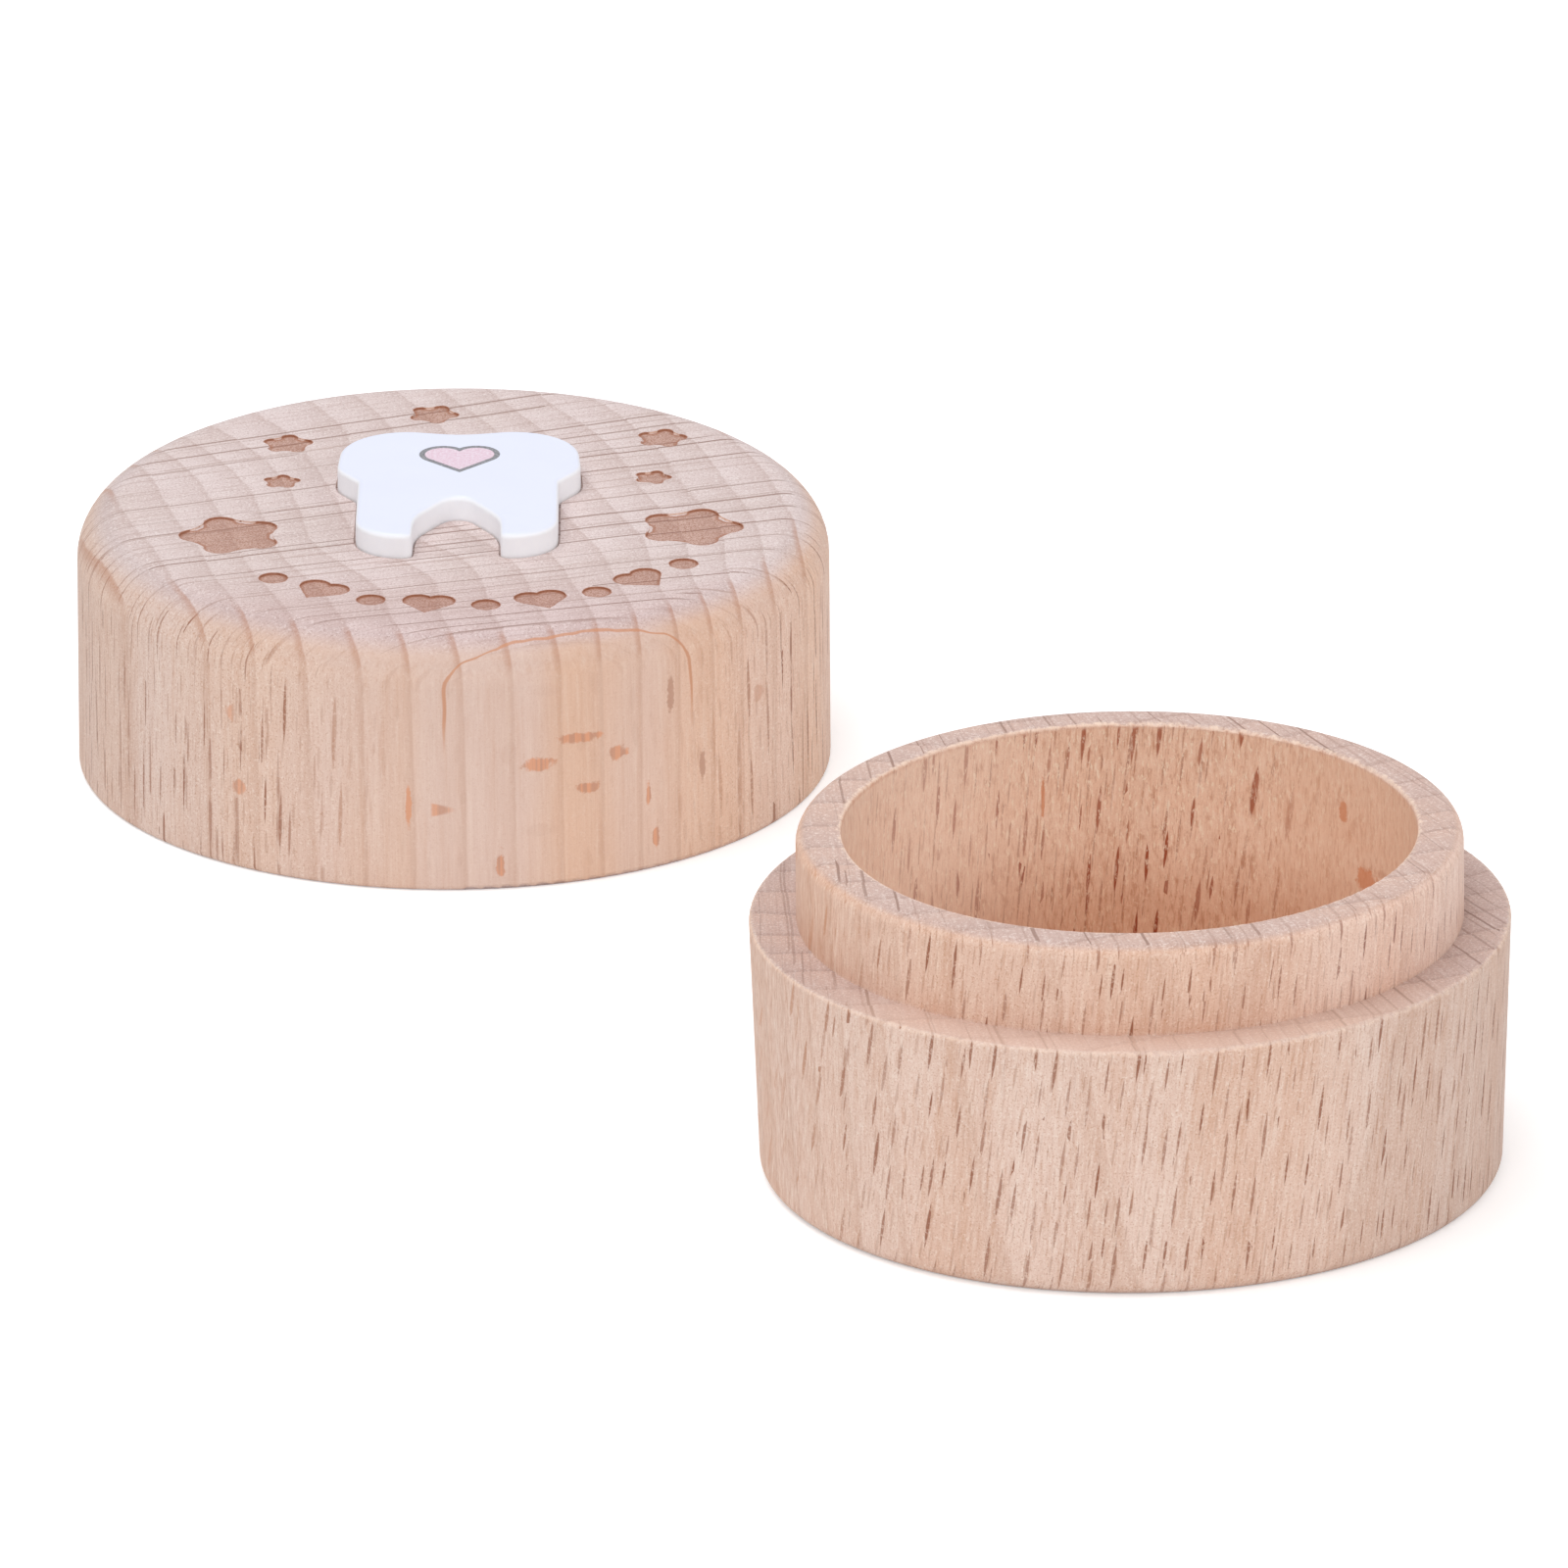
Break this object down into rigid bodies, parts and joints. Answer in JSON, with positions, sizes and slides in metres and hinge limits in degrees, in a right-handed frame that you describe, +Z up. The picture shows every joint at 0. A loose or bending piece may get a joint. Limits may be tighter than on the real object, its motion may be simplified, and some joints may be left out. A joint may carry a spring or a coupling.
{
  "type": "wooden keepsake box",
  "caption": "Round turned beech keepsake box shown open: a cup with a spigot, and a thick round-shouldered cap with engraved stars and a white tooth-shaped plaque.",
  "frame": {"origin": "centre of the cup's flat underside, where it stands on the table", "axes": "+Z up along the cup's turning axis; +Y to the back, towards where the cap stands; +X to the right as in the picture"},
  "size_m": [0.0945, 0.1246, 0.0235],
  "materials": {
    "beech_base": "fine turned and sanded, bare",
    "beech_lid": "fine turned and sanded, bare, laser engraved",
    "white_acrylic": "semi-gloss face, matt cut edge",
    "clear_glue": "thin dried film"
  },
  "bodies": {
    "base": {"base": "beech_base"},
    "lid": {"lid": "beech_lid", "tooth_plaque": "white_acrylic", "plaque_glue": "clear_glue"}
  },
  "joints": [
    {"name": "lid_lift", "type": "slide", "parent": "base", "child": "lid", "axis": [0, 0, 1], "range_m": [0, 0.04]}
  ]
}
